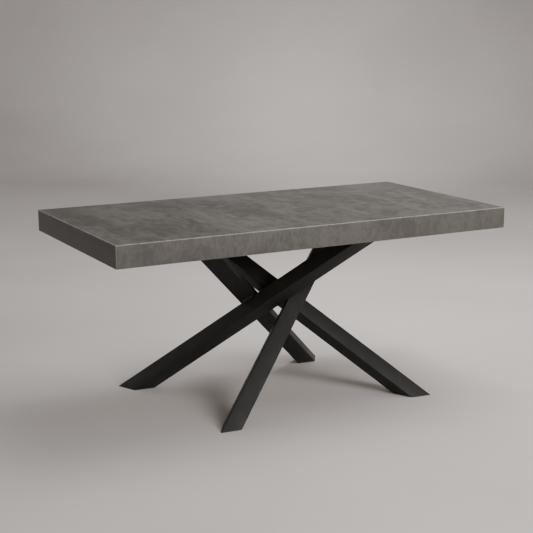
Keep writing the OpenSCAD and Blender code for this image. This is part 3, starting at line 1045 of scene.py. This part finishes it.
class TubeCut:
    """A square tube between two level cuts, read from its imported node."""

    def __init__(self, node: str) -> None:
        """Read the tube.

        Args:
            node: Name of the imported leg.
        """
        corners = [v.co.copy() for v in frame["nodes"][node].data.vertices]
        low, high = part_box(node)
        foot = self.outline([c for c in corners if abs(c.z - low.z) < 1e-4])
        head = self.outline([c for c in corners if abs(c.z - high.z) < 1e-4])
        self.foot = sum(foot, Vector()) / len(foot)
        self.head = sum(head, Vector()) / len(head)
        self.way = (self.head - self.foot).normalized()
        square = [c - self.way * (c - self.foot).dot(self.way) for c in foot]
        self.across = (square[1] - square[0]).normalized()
        self.face = self.way.cross(self.across)
        self.side = (square[1] - square[0]).length

    @staticmethod
    def outline(points: list[Vector]) -> list[Vector]:
        """Give the four outer corners of a level cut, in order.

        Args:
            points: All points of the cut.

        Returns:
            The corners.
        """
        single = list({tuple(round(c, 6) for c in point): point for point in points}.values())
        hull = [single[i] for i in convex_hull_2d([point.xy for point in single])]
        kept = []
        for i, point in enumerate(hull):
            before = (point - hull[i - 1]).xy
            after = (hull[(i + 1) % len(hull)] - point).xy
            if min(before.length, after.length) > SAME and abs(before.angle(after)) > 0.1:
                kept.append(point)
        return kept

    def ring(self, middle: Vector, side: float, radius: float, steps: int) -> list[Vector]:
        """Give a rounded square round the tube, slid along it to a level cut.

        Args:
            middle: Where the tube's axis meets the cut.
            side: Side of the square.
            radius: Radius of its corners.
            steps: Facets to a corner.

        Returns:
            The points.
        """
        points = []
        reach = side / 2 - radius
        for quarter in range(4):
            turn = math.pi / 2 * quarter
            corner = Vector((math.cos(turn) - math.sin(turn), math.sin(turn) + math.cos(turn)))
            for step in range(steps + 1):
                angle = turn + math.pi / 2 * step / steps
                flat = corner * reach + radius * Vector((math.cos(angle), math.sin(angle)))
                point = self.across * flat.x + self.face * flat.y
                points.append(middle + point - self.way * (point.z / self.way.z))
        return points

    def at_height(self, z: float) -> Vector:
        """Give the point of the tube's axis at a height.

        Args:
            z: The height.

        Returns:
            The point.
        """
        return self.foot + self.way * ((z - self.foot.z) / self.way.z)


@dataclass
class SteelBase:
    """Legs, foot caps and weld beads."""

    shop: FinishShop
    corner: float = 0.0035
    corner_steps: int = 5
    wall: float = 0.003
    cap_lip: float = 0.0008
    ripple_pitch: float = 0.0028
    bead_round: int = 6
    bead_steps: int = 4
    bead_valley: float = 0.86
    sink: float = 0.0003

    LEGS = ("back_left", "front_left", "front_right", "back_right")
    LEG_SMOOTH = 25.0
    CAP_SMOOTH = 40.0
    BEAD_SMOOTH = 50.0

    def leg(self, name: str) -> None:
        """Make a hollow leg with rounded corners.

        Args:
            name: Name of the leg's corner of the table.
        """
        tube = TubeCut(f"{name}_leg")
        inner = tube.side - 2 * self.wall
        outside = [tube.ring(end, tube.side, self.corner, self.corner_steps)
                   for end in (tube.foot, tube.head)]
        inside = [tube.ring(end, inner, self.corner / 4, self.corner_steps)
                  for end in (tube.head, tube.foot)]
        bm = bmesh.new()
        loft(bm, [*outside, *inside, outside[0]], caps=False)
        bmesh.ops.remove_doubles(bm, verts=bm.verts, dist=1e-7)
        stand_for(f"{name}_leg", f"{name}_leg_tube", bm, [self.shop.get("powder_coat")],
                  self.LEG_SMOOTH)

    def foot_cap(self, name: str) -> None:
        """Make the rubber cap that closes a leg at the floor.

        Args:
            name: Name of the leg's corner of the table.
        """
        tube = TubeCut(f"{name}_leg")
        low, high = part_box(f"{name}_foot_cap")
        flange = tube.foot.z
        plug = tube.side - 2 * (self.wall + self.sink)
        rings = []
        for z, side in ((low.z, tube.side - 2 * self.cap_lip), (low.z + self.cap_lip, tube.side),
                        (flange, tube.side), (flange, plug), (high.z, plug)):
            rings.append(tube.ring(tube.at_height(z), side, self.corner, self.corner_steps))
        bm = bmesh.new()
        loft(bm, rings)
        stand_for(f"{name}_foot_cap", f"{name}_foot_pad", bm, [self.shop.get("black_rubber")],
                  self.CAP_SMOOTH)

    def weld_beads(self) -> None:
        """Make the rippled beads where the two legs of each X frame meet."""
        bm = bmesh.new()
        for points in loose_parts("leg_welds"):
            self.bead(bm, points)
        stand_for("leg_welds", "leg_weld_beads", bm, [self.shop.get("powder_coat")],
                  self.BEAD_SMOOTH)

    def bead(self, bm: Mesh, points: list[Vector]) -> None:
        """Run one bead along a three-sided bar.

        Args:
            bm: Mesh to add to.
            points: The bar's six corners.
        """
        first = points[0]
        others = sorted(points[1:], key=lambda p: (p - first).length)
        near = [first, others[0], others[1]]
        way = (others[2] - first).normalized()
        length = (others[2] - first).length
        legs = {i: [(near[j] - near[i]).normalized() for j in range(3) if j != i]
                for i in range(3)}
        right = min(range(3), key=lambda i: abs(legs[i][0].dot(legs[i][1])))
        root = near[right]
        arms = [near[j] - root for j in range(3) if j != right]
        stations = int(length / self.ripple_pitch) * self.bead_steps
        rings = []
        for k in range(stations + 1):
            part = k / stations
            taper = min(1.0, 6.0 * min(part, 1.0 - part) + 0.25)
            wave = math.cos(math.pi / 2 * (k % self.bead_steps)) ** 2
            swell = taper * (self.bead_valley + (1 - self.bead_valley) * wave)
            middle = root + way * (length * part)
            ring = [middle]
            for step in range(self.bead_round + 1):
                turn = math.pi / 2 * step / self.bead_round
                ring.append(middle + swell * (arms[0] * math.cos(turn) + arms[1] * math.sin(turn)))
            rings.append(ring)
        loft(bm, rings)

    def build(self) -> None:
        """Make the base."""
        for name in self.LEGS:
            self.leg(name)
            self.foot_cap(name)
        self.weld_beads()


# ---- Fasteners ----


@dataclass
class Fastener:
    """A screw or bolt with a turned head, a driver recess and a threaded shank."""

    drive: Drive
    head: float
    recess: float
    depth: float
    pitch: float
    thread: float
    countersunk: bool
    facets: int = 24

    CHAMFER = 0.08
    TAPER = 0.85
    TIP = 0.6
    CROSS_ARM = 0.28

    def recess_radius(self, turn: float) -> float:
        """Give the recess's outline.

        Args:
            turn: Angle round the head.

        Returns:
            Its radius there.
        """
        if self.drive is Drive.HEX:
            within = (turn + math.pi / 6) % (math.pi / 3) - math.pi / 6
            return self.recess * math.cos(math.pi / 6) / math.cos(within)
        c, s = abs(math.cos(turn)), abs(math.sin(turn))
        return min(self.recess / max(c, s), self.CROSS_ARM * self.recess / max(min(c, s), 1e-6))

    def rings(self, head_r: float, shank_r: float, length: float) -> list[tuple[float, Any]]:
        """Give the profile from the bottom of the recess round to the tip.

        Args:
            head_r: Radius of the head.
            shank_r: Radius of the shank.
            length: Whole length, head included.

        Returns:
            Pairs of height from the head's face, and radius or outline function.
        """
        small = head_r * self.CHAMFER
        profile = [(self.depth, lambda turn: self.TAPER * self.recess_radius(turn)),
                   (0.0, self.recess_radius), (0.0, head_r - small), (small, head_r)]
        if self.countersunk:
            profile = profile[:-1] + [(small / 2, head_r), (self.head, shank_r)]
        else:
            profile += [(self.head, head_r), (self.head, shank_r)]
        turns = int((length - self.head) / self.pitch)
        for k in range(turns):
            z = self.head + k * self.pitch
            profile += [(z + 0.25 * self.pitch, shank_r - self.thread),
                        (z + 0.75 * self.pitch, shank_r)]
        profile.append((length, shank_r * self.TIP))
        return profile

    def add(self, bm: Mesh, face: Vector, way: Vector, head_r: float,
            shank_r: float, length: float) -> None:
        """Add one fastener.

        Args:
            bm: Mesh to add to.
            face: Middle of the head's face.
            way: Way the shank points, of length 1.
            head_r: Radius of the head.
            shank_r: Radius of the shank.
            length: Whole length.
        """
        first, second = axes_about(way)
        rings = []
        for z, radius in self.rings(head_r, shank_r, length):
            ring = []
            for i in range(self.facets):
                turn = 2 * math.pi * (i + 0.5) / self.facets
                r = radius(turn) if callable(radius) else radius
                ring.append(face + way * z + r * (first * math.cos(turn)
                                                  + second * math.sin(turn)))
            rings.append(ring)
        loft(bm, rings)


@dataclass
class Fixings:
    """The bolts and screws that point up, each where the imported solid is."""

    shop: FinishShop

    BOLT = Fastener(Drive.HEX, head=0.004, recess=0.0028, depth=0.0022, pitch=0.00125,
                    thread=0.0004, countersunk=False)
    WOOD_SCREW = Fastener(Drive.CROSS, head=0.0022, recess=0.0022, depth=0.0014, pitch=0.0018,
                          thread=0.0005, countersunk=True)
    UP = Vector((0, 0, 1))
    SMOOTH = 35.0

    def upright(self, node: str, name: str, kind: Fastener) -> None:
        """Make the fasteners of a node whose solids all point up.

        Args:
            node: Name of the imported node.
            name: Name of the piece.
            kind: The kind of fastener.
        """
        bm = bmesh.new()
        for points in loose_parts(node):
            low = min(p.z for p in points)
            high = max(p.z for p in points)
            middle = sum(points, Vector()) / len(points)
            head_r = max((p.xy - middle.xy).length for p in points if p.z < low + kind.head / 4)
            shank_r = max((p.xy - middle.xy).length for p in points if p.z > high - SAME)
            face = Vector((middle.x, middle.y, low))
            kind.add(bm, face, self.UP, head_r, shank_r, high - low)
        stand_for(node, name, bm, [self.shop.get("zinc_plate")], self.SMOOTH)

    def build(self) -> None:
        """Make the bolts under the leg plates and the screws under the frame."""
        self.upright("leg_bolts", "leg_cap_bolts", self.BOLT)
        self.upright("board_screws", "board_wood_screws", self.WOOD_SCREW)
        self.upright("top_screws", "top_wood_screws", self.WOOD_SCREW)


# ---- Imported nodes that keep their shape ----


@dataclass
class WorkshopParts:
    """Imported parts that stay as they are, with eased edges and their finish."""

    shop: FinishShop
    ease: float = 0.0004
    ease_steps: int = 2
    sharp_deg: float = 40.0

    FINISH_OF_SLOT = {
        "black_steel": "powder_coat",
        "zinc_steel": "zinc_plate",
        "black_rubber": "black_rubber",
        "grey_felt": "grey_felt",
        "frame_wood": "plywood",
        "cement_board": "cement_side",
    }

    def finish_of(self, node: str) -> str:
        """Choose a node's finish.

        Args:
            node: Name of the node.

        Returns:
            Name of the finish.
        """
        if node.endswith("_riser"):
            return "pine_across"
        if node.endswith("_spine") or node == "glue_blocks":
            return "pine_along"
        return self.FINISH_OF_SLOT[NODE_SLOT[node]]

    def build(self) -> None:
        """Dress every node that is still shown."""
        for node, part in sorted(frame["nodes"].items()):
            if part.hide_render:
                continue
            part.data.materials.clear()
            part.data.materials.append(self.shop.get(self.finish_of(node)))
            weld = part.modifiers.new("weld", "WELD")
            weld.merge_threshold = SAME
            bevel = part.modifiers.new("eased_edges", "BEVEL")
            bevel.width = self.ease
            bevel.segments = self.ease_steps
            bevel.limit_method = "ANGLE"
            bevel.angle_limit = math.radians(self.sharp_deg)
            part.modifiers.new("weighted_normals", "WEIGHTED_NORMAL")
            log.info("%s is dressed in %s", node, self.finish_of(node))


# ---- Studio ----


@dataclass
class Softbox:
    """A rectangular studio light that looks at a point."""

    name: str
    place: Triple
    aim: Triple
    width: float
    height: float
    watts: float
    spread_deg: float = 180.0
    colour: Triple = (1.0, 0.975, 0.945)

    def build(self) -> None:
        """Make the light."""
        data = bpy.data.lights.new(self.name, "AREA")
        data.shape = "RECTANGLE"
        data.size, data.size_y = self.width, self.height
        data.energy = self.watts
        data.spread = math.radians(self.spread_deg)
        data.color = self.colour
        light = bpy.data.objects.new(self.name, data)
        light.location = self.place
        way = Vector(self.aim) - Vector(self.place)
        light.rotation_euler = way.to_track_quat("-Z", "Y").to_euler()
        bpy.context.scene.collection.objects.link(light)


@dataclass
class Studio:
    """Seamless round floor, soft lights and the camera."""

    shop: FinishShop
    hub_r: float = 0.02
    floor_r: float = 6.5
    sweep_r: float = 3.0
    wall_h: float = 3.5
    sweep_steps: int = 24
    turns: int = 96
    world_grey: Triple = (0.80, 0.79, 0.78)
    world_strength: float = 0.22
    camera_place: Triple = (-2.2901, -4.1506, 1.5599)
    heading_deg: float = 28.57
    drop_deg: float = 12.22
    lens: float = 79.70

    def backdrop(self) -> None:
        """Make a round floor that sweeps up into a wall on all sides."""
        profile = [(self.hub_r, 0.0), (self.floor_r, 0.0)]
        for step in range(1, self.sweep_steps + 1):
            turn = math.pi / 2 * step / self.sweep_steps
            profile.append((self.floor_r + self.sweep_r * math.sin(turn),
                            self.sweep_r * (1 - math.cos(turn))))
        profile.append((self.floor_r + self.sweep_r, self.sweep_r + self.wall_h))
        bm = bmesh.new()
        rings = []
        for radius, z in profile:
            rings.append([Vector((radius * math.cos(2 * math.pi * i / self.turns),
                                  radius * math.sin(2 * math.pi * i / self.turns), z))
                          for i in range(self.turns)])
        loft(bm, rings, caps=False)
        bm.verts.ensure_lookup_table()
        bm.faces.new(bm.verts[:self.turns])
        floor = finish_mesh("studio_floor", bm, [self.shop.get("studio_paper")], 60.0)

    def lights(self) -> None:
        """Make the key light, the fills and the even light of the room."""
        for box in (
            Softbox("key_light", (1.2, -5.4, 3.2), (0.2, 0.0, 0.4), 2.6, 2.6, 285.0),
            Softbox("top_fill", (2.0, 0.2, 4.4), (1.4, 1.0, 0.0), 3.4, 3.4, 180.0),
            Softbox("wall_wash", (2.3, 2.5, 3.5), (4.1, 6.8, 0.4), 1.0, 0.9, 20.0, 60.0),
            Softbox("floor_pool", (0.8, 1.2, 4.4), (0.8, 1.2, 0.0), 0.8, 0.8, 4.5, 50.0),
            Softbox("back_fill", (-4.6, 4.6, 2.8), (0.0, 0.0, 0.5), 2.4, 1.6, 30.0),
        ):
            box.build()
        world = bpy.data.worlds.new("studio_air")
        world.use_nodes = True
        air = world.node_tree.nodes["Background"]
        air.inputs["Color"].default_value = (*self.world_grey, 1.0)
        air.inputs["Strength"].default_value = self.world_strength
        bpy.context.scene.world = world

    def camera(self) -> None:
        """Make the camera."""
        data = bpy.data.cameras.new("camera")
        data.lens = self.lens
        camera = bpy.data.objects.new("camera", data)
        camera.location = self.camera_place
        camera.rotation_euler = (math.radians(90.0 - self.drop_deg), 0.0,
                                 math.radians(-self.heading_deg))
        bpy.context.scene.collection.objects.link(camera)
        bpy.context.scene.camera = camera

    def build(self) -> None:
        """Make the studio."""
        self.camera()
        self.backdrop()
        self.lights()


def main() -> None:
    """Build the table's looks and the studio round it."""
    shop = FinishShop()
    Studio(shop).build()
    BoxedTop(shop).build()
    SteelBase(shop).build()
    Fixings(shop).build()
    WorkshopParts(shop).build()


if __name__ == "__main__":
    main()
